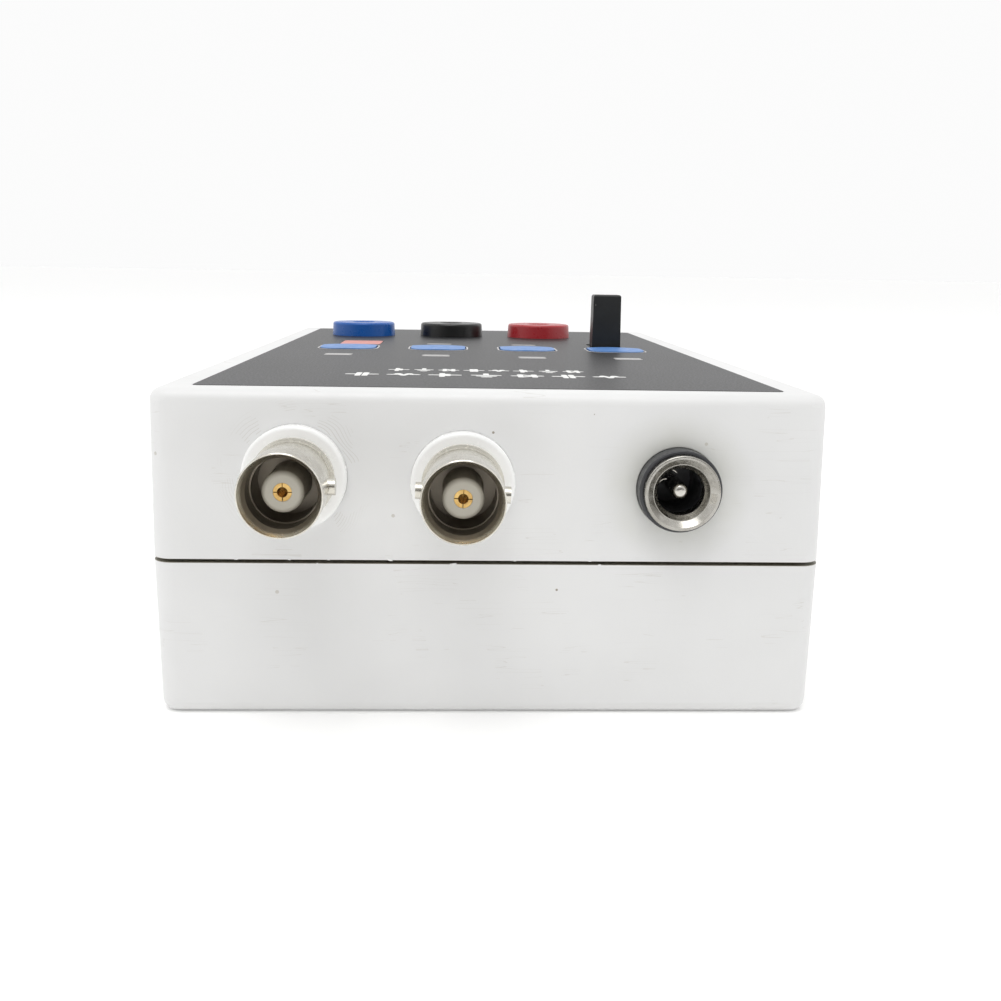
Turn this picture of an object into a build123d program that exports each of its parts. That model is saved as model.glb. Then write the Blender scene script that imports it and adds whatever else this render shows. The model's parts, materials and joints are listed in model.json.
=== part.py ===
from build123d import *
import os
from math import tan, radians

# A pocket component curve tester in a two-part moulded case. Two coaxial outputs and a power inlet
# sit in the front end, three test-lead sockets, four keys and a power slide switch in the panel.
# X is the width, Y runs from the connector end (-) to the socket end (+), Z is up out of the panel,
# and the origin is the centre of the underside. All sizes are in millimetres.

# Case
case_width = 83.0  # at the seam, where the two halves are widest
case_length = 143.0
case_height = 40.9
seam_height = 19.88
seam_gap = 0.46
wall = 2.8
panel_thickness = 2.5
floor_thickness = 2.5
draft_angle = 0.8
corner_radius = 2.6
inner_corner_radius = 1.2
edge_radius = 1.5
tongue_thickness = 1.1
tongue_height = 1.8

# Clearances
fit = 0.1  # round a piece that seats in another
seat = 0.03  # round a piece that is pressed or screwed into another
gap = 0.25  # round a piece that moves
running = 0.05  # round a plunger in its guide

# Case screws
screw_radius = 1.5
screw_head_radius = 2.75
screw_head_height = 1.9
screw_length = 24.0
screw_seat = 4.0
boss_radius = 4.0
boss_inset = 3.4  # from the cavity wall to the screw's axis

# Panel layout, measured from the socket end
socket_pitch = 19.05
socket_from_end = 28.5
socket_offset = -5.5  # the middle socket stands left of the centre line
key_pitch = 16.4
key_offset = 0.5  # the row of keys stands right of the centre line
key_from_end = 67.7
lever_from_end = 57.65
lever_x = 24.5
indicator_x = -22.85
indicator_from_end = 54.3

# Label
label_thickness = 0.25
label_recess = 0.2
label_side_margin = 4.5
label_front_margin = 4.6
label_back_margin = 5.6
label_corner = 0.8

# Keys and their switches
key_width = 9.9
key_length = 11.9
key_corner = 3.2
key_rise = 0.45
key_dome_radius = 80.0
key_travel = 0.35
key_lip = 0.9
key_lip_thickness = 0.8
tact_width = 6.0
tact_height = 3.4
tact_reach = 4.7  # from the board to the top of the plunger
tact_floor = 1.0
plunger_radius = 1.75

# Slide switch
lever_width = 5.5
lever_depth = 4.2
lever_height = 10.0  # above the panel
lever_draft = 0.7
lever_fillet = 0.4
lever_travel = 4.0
switch_width = 9.0
switch_length = 16.0
switch_height = 4.6
switch_sheet = 0.4
switch_base_height = 2.4
carriage_width = 7.6
carriage_length = 8.4
carriage_height = 1.2

# Indicator
indicator_width = 7.6
indicator_length = 10.4
indicator_corner = 0.8
indicator_lip = 0.8
led_radius = 1.5
led_height = 4.4

# Test-lead sockets
socket_cap_radius = 6.75
socket_cap_height = 2.8
socket_cap_draft = 3.0
socket_cap_fillet = 0.5
socket_neck_radius = 3.95
socket_neck_length = 14.0
socket_bore = 2.0  # radius of the 4 mm plug hole
socket_entry = 2.3  # radius of the hole in the cap, over the plated sleeve
socket_entry_chamfer = 0.2
contact_wall = 0.75
contact_depth = 17.0
contact_recess = 1.2
stud_radius = 1.1
stud_length = 5.0
socket_nut_flats = 12.0
socket_nut_height = 3.0

# Coaxial outputs
coax_left_x = -23.72
coax_right_x = -3.42
coax_left_drop = 10.43  # below the panel
coax_right_drop = 11.02
coax_right_turn = -2.5
coax_reach = 12.36  # from the face to the rim
coax_radius = 4.85
coax_relief = 0.2  # the barrel is this much smaller round and behind the lugs
coax_land = 4.7  # length of the full-size barrel at the rim
coax_rim = 0.16  # wall at the rim, where the bore flares out
coax_wall = 0.8
coax_flare = 1.6  # length of the flare
coax_step = 0.15  # the bore narrows by this much at the step
coax_step_depth = 4.4
coax_shoulder = 0.6
coax_shoulder_rise = 0.15
coax_floor = 2.9
lug_radius = 1.0
lug_rise = 0.7
lug_setback = 6.0
insulator_radius = 2.415
insulator_setback = 2.4
insulator_fillet = 0.6
coax_pin_radius = 1.05
coax_pin_bore = 0.6
coax_pin_slit = 0.1
coax_pin_slit_depth = 3.5
collar_wall = 1.5
collar_reach = 1.6
collar_fillet = 0.5
collar_sleeve_wall = 0.9
washer_thickness = 1.0
washer_margin = 0.3
tag_thickness = 0.4
tag_width = 3.0
tag_drop = 10.5
coax_nut_wall = 1.9
coax_nut_height = 2.4
shank_spare = 1.6
solder_pot = 3.6

# Power inlet
jack_x = 22.9
jack_drop = 11.51
jack_flange_wall = 0.45
jack_flange_reach = 2.45
jack_flange_fillet = 0.25
jack_sleeve_radius = 4.6
jack_sleeve_reach = 3.6
jack_sleeve_back = 0.4
jack_lip = 0.4  # wall of the bright sleeve at its rounded rim
jack_step_depth = 0.65  # the funnel's outer cone ends in a step here
jack_step_radius = 3.5
jack_step = 0.08
jack_cone_depth = 1.4
jack_bore = 2.9
jack_bore_depth = 6.6
jack_pin_radius = 1.0
jack_tail_radius = 0.8
jack_pin_reach = 2.2
jack_shank_radius = 3.95
jack_shank_length = 12.0
jack_nut_flats = 11.0
jack_nut_height = 2.6
jack_tag_width = 2.2
jack_tag_thickness = 0.5
jack_tag_length = 4.0
jack_tag_spread = 2.2
spot_depth = 0.35  # facing cut round each hole in the drafted front wall

# Board
board_drop = 6.4  # from the inside of the panel to the top of the board
board_thickness = 1.6
board_side_clearance = 1.2
board_behind_coax = 22.0
board_spare = 2.0
board_corner = 1.5
pillar_radius = 3.0
pillar_inset = 3.6
board_screw_radius = 1.1
board_screw_head_radius = 2.1
board_screw_head_height = 1.4
board_screw_length = 6.0

# Parts under the board
capacitor_radius = 3.15
capacitor_height = 11.0
capacitor_fillet = 0.6
capacitor_spread = 6.6  # from the axis of the left output or of the inlet
regulator_width = 10.0
regulator_depth = 4.4
regulator_height = 12.0
regulator_tab = 1.3
regulator_tab_height = 18.0
chip_width = 4.0
chip_length = 9.9
chip_height = 1.6
chip_x = 9.0
processor_width = 10.0
relay_width = 9.0
relay_length = 14.8
relay_height = 9.6
relay_fillet = 0.5
relay_x = 16.0
relay_setback = 3.0  # in front of the row of keys
crystal_length = 11.2
crystal_width = 4.6
crystal_height = 3.6
crystal_x = 2.0
resistor_radius = 1.25
resistor_length = 6.3
resistor_pitch = 4.0
resistor_x = 13.0

# Leads
lead_radius = 0.5
lead_bend = 2.0
lead_straight = 5.0  # run before the first bend
signal_pad_inset = 3.0  # from the board's front edge
ground_pad_inset = 5.2
socket_pad_inset = 3.0
coax_lead_drop = 4.9

# Levels and faces worked out from the sizes above
draft = tan(radians(draft_angle))
front_y = -case_length / 2
roof_z = case_height - panel_thickness
lower_rim_z = seam_height - seam_gap / 2
upper_rim_z = seam_height + seam_gap / 2
cavity_width = case_width - 2 * wall
cavity_length = case_length - 2 * wall
inner_front_y = -cavity_length / 2
spot_y = front_y + spot_depth
label_z = case_height - label_recess
label_top_z = label_z + label_thickness
board_top_z = roof_z - board_drop
board_bottom_z = board_top_z - board_thickness
key_y = case_length / 2 - key_from_end
socket_y = case_length / 2 - socket_from_end
lever_y = case_length / 2 - lever_from_end
indicator_y = case_length / 2 - indicator_from_end
switch_y = lever_y + lever_travel / 2
board_front_y = inner_front_y + board_behind_coax
board_back_y = switch_y + switch_length / 2 + 2 * pillar_radius + board_spare
board_width = cavity_width - 2 * board_side_clearance
board_length = board_back_y - board_front_y
board_y = (board_front_y + board_back_y) / 2

coax_bore = coax_radius - coax_wall
coax_body = coax_radius - coax_relief
collar_radius = coax_radius + collar_wall
collar_sleeve = coax_body + collar_sleeve_wall
washer_radius = collar_radius + washer_margin
jack_flange_radius = jack_sleeve_radius + jack_flange_wall

key_places = [(key_offset + (i - 1.5) * key_pitch, key_y) for i in range(4)]
socket_places = [(socket_offset + i * socket_pitch, socket_y) for i in (-1, 0, 1)]
boss_x = cavity_width / 2 - boss_inset
boss_y = cavity_length / 2 - boss_inset
boss_places = [(x, y) for x in (-boss_x, boss_x) for y in (-boss_y, boss_y)]
pillar_x = board_width / 2 - pillar_inset
pillar_places = [
    (x, y)
    for x in (-pillar_x, pillar_x)
    for y in (board_front_y + pillar_inset, board_back_y - pillar_inset)
]

upward = (Align.CENTER, Align.CENTER, Align.MIN)
downward = (Align.CENTER, Align.CENTER, Align.MAX)


def write(piece, name):
    piece.part.label = name
    export_step(piece.part, f"parts/{name}.step")


def face_y(z):
    """Where the drafted front wall stands at a height above the seam."""
    return front_y + (z - seam_height) * draft


def outward(x, z, turn=0.0):
    """A plane on the front face, its normal pointing out of the case."""
    facing = Plane(origin=(x, face_y(z), z), x_dir=(1, 0, 0), z_dir=(0, -1, 0))
    return Plane(facing.location * Rotation(0, 0, turn))


def disc(plane, start, end, radius, mode=Mode.ADD):
    """A disc along a plane's normal, from one distance to another."""
    with Locations(plane.offset(start)):
        Cylinder(radius, end - start, align=upward, mode=mode)


def hexagon(plane, start, end, flats):
    """A hexagonal prism along a plane's normal."""
    with BuildSketch(plane.offset(start)) as outline:
        RegularPolygon(flats / 2, 6, major_radius=False)
    extrude(outline.sketch, amount=end - start)


def cut_panel(low, height):
    """The openings that the top shell and its label share."""
    with BuildSketch(Plane.XY.offset(low)) as openings:
        with Locations(*key_places):
            RectangleRounded(key_width + 2 * gap, key_length + 2 * gap, key_corner + gap)
        with Locations((lever_x, switch_y)):
            Rectangle(lever_width + 2 * gap, lever_depth + lever_travel + 2 * gap)
        with Locations((indicator_x, indicator_y)):
            RectangleRounded(indicator_width + 2 * fit, indicator_length + 2 * fit, indicator_corner)
        with Locations(*socket_places):
            Circle(socket_neck_radius + fit)
    extrude(openings.sketch, amount=height, mode=Mode.SUBTRACT)


def lead(points):
    """An insulated wire through the given points."""
    with BuildPart() as wire:
        with BuildLine() as route:
            FilletPolyline(*points, radius=lead_bend)
        with BuildSketch(Plane(origin=route.line @ 0, z_dir=route.line % 0)):
            Circle(lead_radius)
        sweep(path=route.line)
    return wire.part


os.makedirs("parts", exist_ok=True)

coaxes = {
    "left": (coax_left_x, case_height - coax_left_drop, 0.0),
    "right": (coax_right_x, case_height - coax_right_drop, coax_right_turn),
}
jack_z = case_height - jack_drop
jack_plane = outward(jack_x, jack_z)

# Top shell: drafted tub, open downwards, with the panel, the connector wall and the bosses
with BuildPart() as top_shell:
    with BuildSketch(Plane.XY.offset(upper_rim_z)):
        RectangleRounded(case_width, case_length, corner_radius)
    extrude(amount=case_height - upper_rim_z, taper=draft_angle)
    fillet(top_shell.edges().group_by(Axis.Z)[-1], radius=edge_radius)
    with BuildSketch(Plane.XY.offset(upper_rim_z)):
        RectangleRounded(cavity_width, cavity_length, inner_corner_radius)
    extrude(amount=roof_z - upper_rim_z, mode=Mode.SUBTRACT)
    with Locations(*[(x, y, seam_height) for x, y in boss_places]):
        Cylinder(boss_radius, roof_z - seam_height, align=upward)
    with Locations(*[(x, y, board_top_z) for x, y in pillar_places]):
        Cylinder(pillar_radius, board_drop, align=upward)
    with BuildSketch(Plane.XY.offset(seam_height)):
        RectangleRounded(
            cavity_width + 2 * (tongue_thickness + fit),
            cavity_length + 2 * (tongue_thickness + fit),
            inner_corner_radius + tongue_thickness + fit,
        )
        RectangleRounded(
            cavity_width - 2 * fit, cavity_length - 2 * fit, inner_corner_radius, mode=Mode.SUBTRACT
        )
    extrude(amount=tongue_height + fit, mode=Mode.SUBTRACT)
    with Locations(*[(x, y, seam_height) for x, y in boss_places]):
        Cylinder(screw_radius + seat, screw_length - (seam_height - screw_seat), align=upward,
                 mode=Mode.SUBTRACT)
    with Locations(*[(x, y, board_top_z) for x, y in pillar_places]):
        Cylinder(board_screw_radius + seat, board_screw_length - board_thickness, align=upward,
                 mode=Mode.SUBTRACT)
    label_width = case_width - 2 * (case_height - seam_height) * draft - 2 * label_side_margin
    label_length = case_length - label_front_margin - label_back_margin
    label_place = (0, (label_front_margin - label_back_margin) / 2)
    with BuildSketch(Plane.XY.offset(label_z)):
        with Locations(label_place):
            RectangleRounded(label_width + 2 * fit, label_length + 2 * fit, label_corner + fit)
    extrude(amount=label_recess, mode=Mode.SUBTRACT)
    cut_panel(roof_z, panel_thickness)
    for x, z, turn in coaxes.values():
        with Locations(Plane(origin=(x, spot_y, z), z_dir=(0, -1, 0))):
            Cylinder(collar_radius + seat, wall, align=upward, mode=Mode.SUBTRACT)
            Cylinder(collar_sleeve + fit, 2 * wall, align=downward, mode=Mode.SUBTRACT)
    with Locations(Plane(origin=(jack_x, spot_y, jack_z), z_dir=(0, -1, 0))):
        Cylinder(jack_flange_radius + fit, wall, align=upward, mode=Mode.SUBTRACT)
        Cylinder(jack_shank_radius + fit, 2 * wall, align=downward, mode=Mode.SUBTRACT)
write(top_shell, "top_shell")

# Bottom shell: the matching tub, with a tongue inside the seam and counterbored screw bosses
with BuildPart() as bottom_shell:
    with BuildSketch(Plane(origin=(0, 0, lower_rim_z), z_dir=(0, 0, -1))):
        RectangleRounded(case_width, case_length, corner_radius)
    extrude(amount=lower_rim_z, taper=draft_angle)
    fillet(bottom_shell.edges().group_by(Axis.Z)[0], radius=edge_radius)
    with BuildSketch(Plane.XY.offset(floor_thickness)):
        RectangleRounded(cavity_width, cavity_length, inner_corner_radius)
    extrude(amount=lower_rim_z - floor_thickness, mode=Mode.SUBTRACT)
    with BuildSketch(Plane.XY.offset(lower_rim_z)):
        RectangleRounded(
            cavity_width + 2 * tongue_thickness,
            cavity_length + 2 * tongue_thickness,
            inner_corner_radius + tongue_thickness,
        )
        RectangleRounded(cavity_width, cavity_length, inner_corner_radius, mode=Mode.SUBTRACT)
    extrude(amount=seam_height + tongue_height - lower_rim_z)
    with Locations(*[(x, y, 0) for x, y in boss_places]):
        Cylinder(boss_radius, seam_height, align=upward)
        Cylinder(screw_radius + gap, seam_height, align=upward, mode=Mode.SUBTRACT)
        Cylinder(screw_head_radius + gap, screw_seat, align=upward, mode=Mode.SUBTRACT)
write(bottom_shell, "bottom_shell")

# Four identical case screws, driven from below
with BuildPart() as case_screws:
    with Locations(*[(x, y, screw_seat) for x, y in boss_places]):
        Cylinder(screw_head_radius, screw_head_height, align=downward)
        Cylinder(screw_radius, screw_length, align=upward)
    fillet(case_screws.edges().group_by(Axis.Z)[0], radius=screw_head_height / 3)
    with Locations(*[(x, y, screw_seat - screw_head_height) for x, y in boss_places]):
        Box(screw_head_radius, screw_radius / 3, screw_head_height / 2, align=upward, mode=Mode.SUBTRACT)
        Box(screw_radius / 3, screw_head_radius, screw_head_height / 2, align=upward, mode=Mode.SUBTRACT)
write(case_screws, "case_screws")

# Printed plastic label, let into the panel
with BuildPart() as overlay_label:
    with BuildSketch(Plane.XY.offset(label_z)):
        with Locations(label_place):
            RectangleRounded(label_width, label_length, label_corner)
    extrude(amount=label_thickness)
    cut_panel(label_z, label_thickness)
write(overlay_label, "overlay_label")

# Keys: domed caps held under the panel by a lip, each on the plunger of its own switch
key_lip_top = roof_z - gap
key_lip_low = key_lip_top - key_lip_thickness
plunger_top = board_top_z + tact_reach
for number, (x, y) in enumerate(key_places, start=1):
    with BuildPart() as key:
        with BuildSketch(Plane.XY.offset(key_lip_low)):
            with Locations((x, y)):
                RectangleRounded(key_width, key_length, key_corner)
        extrude(amount=case_height + key_rise - key_lip_low)
        with Locations((x, y, case_height + key_rise - key_dome_radius)):
            Sphere(key_dome_radius, mode=Mode.INTERSECT)
        with BuildSketch(Plane.XY.offset(key_lip_low)):
            with Locations((x, y)):
                RectangleRounded(key_width + 2 * key_lip, key_length + 2 * key_lip, key_corner)
        extrude(amount=key_lip_thickness)
        with Locations((x, y, key_lip_low)):
            Cylinder(plunger_radius, key_lip_low - plunger_top, align=downward)
    write(key, f"key_{number}")

    with BuildPart() as plunger:
        with Locations((x, y, plunger_top)):
            Cylinder(
                plunger_radius, tact_reach - tact_floor - key_travel - gap, align=downward
            )
    write(plunger, f"key_plunger_{number}")

with BuildPart() as tact_switches:
    with Locations(*[(x, y, board_top_z) for x, y in key_places]):
        Box(tact_width, tact_width, tact_height, align=upward)
    with Locations(*[(x, y, board_top_z + tact_floor) for x, y in key_places]):
        Cylinder(plunger_radius + running, tact_height, align=upward, mode=Mode.SUBTRACT)
write(tact_switches, "tact_switches")

# Indicator window and its lamp
with BuildPart() as indicator_window:
    with BuildSketch(Plane.XY.offset(roof_z)):
        with Locations((indicator_x, indicator_y)):
            RectangleRounded(indicator_width, indicator_length, indicator_corner)
    extrude(amount=label_top_z - roof_z)
    with Locations((indicator_x, indicator_y, roof_z)):
        Box(
            indicator_width + 2 * indicator_lip,
            indicator_length + 2 * indicator_lip,
            indicator_lip,
            align=downward,
        )
write(indicator_window, "indicator_window")

with BuildPart() as indicator_lamp:
    with Locations((indicator_x, indicator_y, board_top_z)):
        Cylinder(led_radius, led_height - led_radius, align=upward)
        Cylinder(led_radius * 1.25, led_radius / 2, align=upward)
    with Locations((indicator_x, indicator_y, board_top_z + led_height - led_radius)):
        Sphere(led_radius)
write(indicator_lamp, "indicator_lamp")

# Slide switch: a sheet-metal frame over a plastic base, with the lever's carriage between them
with BuildPart() as switch_frame:
    with Locations((lever_x, switch_y, board_top_z)):
        Box(switch_width, switch_length, switch_height, align=upward)
        Box(
            switch_width - 2 * switch_sheet,
            switch_length - 2 * switch_sheet,
            switch_height - switch_sheet,
            align=upward,
            mode=Mode.SUBTRACT,
        )
        Box(
            lever_width + 2 * gap,
            lever_depth + lever_travel + 2 * gap,
            switch_height,
            align=upward,
            mode=Mode.SUBTRACT,
        )
write(switch_frame, "switch_frame")

with BuildPart() as switch_base:
    with Locations((lever_x, switch_y, board_top_z)):
        Box(
            switch_width - 2 * (switch_sheet + fit),
            switch_length - 2 * (switch_sheet + fit),
            switch_base_height,
            align=upward,
        )
write(switch_base, "switch_base")

carriage_z = board_top_z + switch_base_height + gap
with BuildPart() as power_lever:
    with BuildSketch(Plane.XY.offset(case_height)):
        with Locations((lever_x, lever_y)):
            Rectangle(lever_width, lever_depth)
    extrude(amount=lever_height, taper=lever_draft)
    fillet(power_lever.edges().group_by(Axis.Z)[-1], radius=lever_fillet)
    with Locations((lever_x, lever_y, case_height)):
        Box(lever_width, lever_depth, case_height - carriage_z, align=downward)
    with Locations((lever_x, lever_y, carriage_z)):
        Box(carriage_width, carriage_length, carriage_height, align=upward)
write(power_lever, "power_lever")

# Test-lead sockets: a coloured cap and threaded neck round a plated sleeve, held by a nut
cap_top_z = label_top_z + socket_cap_height
contact_top_z = cap_top_z - contact_recess
contact_outer = socket_bore + contact_wall
for colour, (x, y) in zip(("blue", "black", "red"), socket_places):
    with BuildPart() as socket_body:
        with BuildSketch(Plane.XY.offset(label_top_z)):
            with Locations((x, y)):
                Circle(socket_cap_radius)
        extrude(amount=socket_cap_height, taper=socket_cap_draft)
        fillet(socket_body.edges().group_by(Axis.Z)[-1], radius=socket_cap_fillet)
        with Locations((x, y, label_top_z)):
            Cylinder(socket_neck_radius, label_top_z - roof_z + socket_neck_length, align=downward)
        with Locations((x, y, contact_top_z)):
            Cylinder(contact_outer + seat, 2 * contact_depth, align=downward, mode=Mode.SUBTRACT)
            Cylinder(socket_entry, 2 * contact_recess, align=upward, mode=Mode.SUBTRACT)
        chamfer(
            socket_body.edges().filter_by(GeomType.CIRCLE).group_by(Axis.Z)[-1].sort_by(SortBy.RADIUS)[0],
            length=socket_entry_chamfer,
        )
    write(socket_body, f"socket_{colour}_body")

    with BuildPart() as socket_contact:
        with Locations((x, y, contact_top_z)):
            Cylinder(contact_outer, contact_depth + contact_wall, align=downward)
            Cylinder(socket_bore, contact_depth, align=downward, mode=Mode.SUBTRACT)
        with Locations((x, y, contact_top_z - contact_depth - contact_wall)):
            Cylinder(stud_radius, stud_length, align=downward)
    write(socket_contact, f"socket_{colour}_contact")

with BuildPart() as socket_nuts:
    for x, y in socket_places:
        hexagon(Plane(origin=(x, y, roof_z)), -socket_nut_height, 0, socket_nut_flats)
        disc(Plane(origin=(x, y, roof_z)), -socket_nut_height, 0, socket_neck_radius + seat, Mode.SUBTRACT)
write(socket_nuts, "socket_nuts")

# Coaxial outputs: shell with two bayonet lugs, insulator, slotted contact and insulating collar
for side, (x, z, turn) in coaxes.items():
    face = outward(x, z, turn)
    spot = face_y(z) - spot_y  # distance from the plane back to the facing cut, negative
    inside = face_y(z) - inner_front_y
    shank_end = inside - washer_thickness - tag_thickness - coax_nut_height - shank_spare
    pin_face = coax_reach - insulator_setback

    with BuildPart() as coax_shell:
        disc(face, coax_reach - coax_land, coax_reach, coax_radius)
        chamfer(coax_shell.edges().sort_by(Axis.Y)[0], length=coax_rim / 2)
        disc(face, shank_end, coax_reach - coax_land, coax_body)
        disc(face, collar_reach, collar_reach + coax_shoulder, coax_radius + coax_shoulder_rise)
        with Locations(face.offset(coax_reach - lug_setback) * Rotation(0, 90, 0)):
            Cylinder(lug_radius, 2 * (coax_radius + lug_rise))
        disc(face, coax_floor, coax_reach, coax_bore - coax_step, Mode.SUBTRACT)
        disc(face, coax_reach - coax_step_depth, coax_reach, coax_bore, Mode.SUBTRACT)
        with Locations(face.offset(coax_reach - coax_flare)):
            Cone(coax_bore, coax_radius - coax_rim, coax_flare, align=upward, mode=Mode.SUBTRACT)
        disc(face, shank_end, coax_floor, insulator_radius + seat, Mode.SUBTRACT)
    write(coax_shell, f"coax_{side}_shell")

    with BuildPart() as coax_insulator:
        disc(face, shank_end, pin_face, insulator_radius)
        fillet(coax_insulator.edges().sort_by(Axis.Y)[0], radius=insulator_fillet)
        disc(face, shank_end, pin_face, coax_pin_radius + seat, Mode.SUBTRACT)
    write(coax_insulator, f"coax_{side}_insulator")

    with BuildPart() as coax_contact:
        disc(face, shank_end - solder_pot, pin_face - seat, coax_pin_radius)
        disc(face, pin_face - coax_pin_slit_depth, pin_face, coax_pin_bore, Mode.SUBTRACT)
        with Locations(face.offset(pin_face)):
            Box(coax_pin_slit, 4 * coax_pin_radius, 2 * coax_pin_slit_depth, mode=Mode.SUBTRACT)
            Box(4 * coax_pin_radius, coax_pin_slit, 2 * coax_pin_slit_depth, mode=Mode.SUBTRACT)
    write(coax_contact, f"coax_{side}_contact")

    with BuildPart() as coax_collar:
        disc(face, spot, collar_reach, collar_radius)
        fillet(coax_collar.edges().sort_by(Axis.Y)[0], radius=collar_fillet)
        disc(face, inside, spot, collar_sleeve)
        disc(face, inside, collar_reach, coax_body + seat, Mode.SUBTRACT)
    write(coax_collar, f"coax_{side}_collar")

with BuildPart() as coax_washers:
    for x, z, turn in coaxes.values():
        inner = Plane(origin=(x, inner_front_y, z), z_dir=(0, 1, 0))
        disc(inner, 0, washer_thickness, washer_radius)
        disc(inner, 0, washer_thickness, coax_body + seat, Mode.SUBTRACT)
write(coax_washers, "coax_washers")

with BuildPart() as coax_ground_tags:
    for x, z, turn in coaxes.values():
        inner = Plane(origin=(x, inner_front_y + washer_thickness, z), z_dir=(0, 1, 0))
        disc(inner, 0, tag_thickness, washer_radius)
        with Locations((x, inner_front_y + washer_thickness + tag_thickness / 2, z)):
            Box(tag_width, tag_thickness, tag_drop, align=(Align.CENTER, Align.CENTER, Align.MAX))
        disc(inner, 0, tag_thickness, coax_body + seat, Mode.SUBTRACT)
write(coax_ground_tags, "coax_ground_tags")

with BuildPart() as coax_nuts:
    for x, z, turn in coaxes.values():
        inner = Plane(origin=(x, inner_front_y + washer_thickness + tag_thickness, z), z_dir=(0, 1, 0))
        hexagon(inner, 0, coax_nut_height, 2 * (coax_body + coax_nut_wall))
        disc(inner, 0, coax_nut_height, coax_body + seat, Mode.SUBTRACT)
write(coax_nuts, "coax_nuts")

# Power inlet: black insert with a bright funnel and a centre pin
jack_spot = face_y(jack_z) - spot_y
jack_inside = face_y(jack_z) - inner_front_y
with BuildPart() as jack_body:
    disc(jack_plane, jack_spot, jack_flange_reach, jack_flange_radius)
    fillet(jack_body.edges().sort_by(Axis.Y)[0], radius=jack_flange_fillet)
    disc(jack_plane, -jack_shank_length, jack_spot, jack_shank_radius)
    disc(jack_plane, jack_sleeve_back, jack_flange_reach, jack_sleeve_radius + seat, Mode.SUBTRACT)
    disc(jack_plane, -jack_bore_depth, jack_sleeve_back, jack_bore, Mode.SUBTRACT)
    disc(jack_plane, -jack_shank_length, -jack_bore_depth, jack_tail_radius + seat, Mode.SUBTRACT)
write(jack_body, "jack_body")

with BuildPart() as jack_sleeve:
    disc(jack_plane, jack_sleeve_back, jack_sleeve_reach, jack_sleeve_radius)
    fillet(jack_sleeve.edges().sort_by(Axis.Y)[0], radius=jack_lip / 2)
    disc(jack_plane, jack_sleeve_back, jack_sleeve_reach, jack_bore, Mode.SUBTRACT)
    with Locations(jack_plane.offset(jack_sleeve_reach - jack_step_depth)):
        Cone(
            jack_step_radius,
            jack_sleeve_radius - jack_lip,
            jack_step_depth,
            align=upward,
            mode=Mode.SUBTRACT,
        )
    with Locations(jack_plane.offset(jack_sleeve_reach - jack_cone_depth)):
        Cone(
            jack_bore,
            jack_step_radius - jack_step,
            jack_cone_depth - jack_step_depth,
            align=upward,
            mode=Mode.SUBTRACT,
        )
write(jack_sleeve, "jack_sleeve")

with BuildPart() as jack_pin:
    disc(jack_plane, -jack_bore_depth, jack_pin_reach, jack_pin_radius)
    fillet(jack_pin.edges().sort_by(Axis.Y)[0], radius=jack_pin_radius * 0.8)
    disc(jack_plane, -jack_shank_length - jack_tag_length, -jack_bore_depth, jack_tail_radius)
write(jack_pin, "jack_pin")

with BuildPart() as jack_nut:
    inner = Plane(origin=(jack_x, inner_front_y, jack_z), z_dir=(0, 1, 0))
    hexagon(inner, 0, jack_nut_height, jack_nut_flats)
    disc(inner, 0, jack_nut_height, jack_shank_radius + seat, Mode.SUBTRACT)
write(jack_nut, "jack_nut")

jack_end_y = face_y(jack_z) + jack_shank_length
with BuildPart() as jack_tags:
    with Locations(*[(jack_x + s * jack_tag_spread, jack_end_y, jack_z) for s in (-1, 1)]):
        Box(
            jack_tag_thickness,
            jack_tag_length,
            jack_tag_width,
            align=(Align.CENTER, Align.MIN, Align.CENTER),
        )
write(jack_tags, "jack_tags")

# Main board, hung from the panel's pillars, with its parts on the underside
with BuildPart() as main_board:
    with BuildSketch(Plane.XY.offset(board_bottom_z)):
        with Locations((0, board_y)):
            RectangleRounded(board_width, board_length, board_corner)
        with Locations(*pillar_places):
            Circle(board_screw_radius + fit, mode=Mode.SUBTRACT)
    extrude(amount=board_thickness)
write(main_board, "main_board")

with BuildPart() as board_screws:
    with Locations(*[(x, y, board_bottom_z) for x, y in pillar_places]):
        Cylinder(board_screw_head_radius, board_screw_head_height, align=downward)
        Cylinder(board_screw_radius, board_screw_length, align=upward)
write(board_screws, "board_screws")

relay_y = key_y - relay_setback
front_zone_y = (board_front_y + relay_y - relay_length / 2) / 2
back_zone_y = (board_back_y + relay_y + relay_length / 2) / 2


def under_board(places, width, length, height):
    """Blocks that hang from the board, one at each place."""
    with Locations(*[(x, y, board_bottom_z) for x, y in places]):
        Box(width, length, height, align=downward)


with BuildPart() as electrolytic_capacitors:
    capacitor_axes = [x + s * capacitor_spread for x in (coax_left_x, jack_x) for s in (-1, 1)]
    with Locations(*[(x, front_zone_y, board_bottom_z) for x in capacitor_axes]):
        Cylinder(capacitor_radius, capacitor_height, align=downward)
    fillet(electrolytic_capacitors.edges().group_by(Axis.Z)[0], radius=capacitor_fillet)
write(electrolytic_capacitors, "electrolytic_capacitors")

with BuildPart() as voltage_regulator:
    tab_y = front_zone_y + (regulator_depth - regulator_tab) / 2
    under_board([(0, front_zone_y)], regulator_width, regulator_depth, regulator_height)
    under_board([(0, tab_y)], regulator_width, regulator_tab, regulator_tab_height)
write(voltage_regulator, "voltage_regulator")

with BuildPart() as integrated_circuits:
    front_chips = [(x, front_zone_y) for x in (-chip_x, chip_x)]
    back_chips = [(x, back_zone_y) for x in (-2 * chip_x, -chip_x)]
    under_board(front_chips + back_chips, chip_width, chip_length, chip_height)
    under_board([(0, relay_y)], processor_width, processor_width, chip_height)
write(integrated_circuits, "integrated_circuits")

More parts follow.
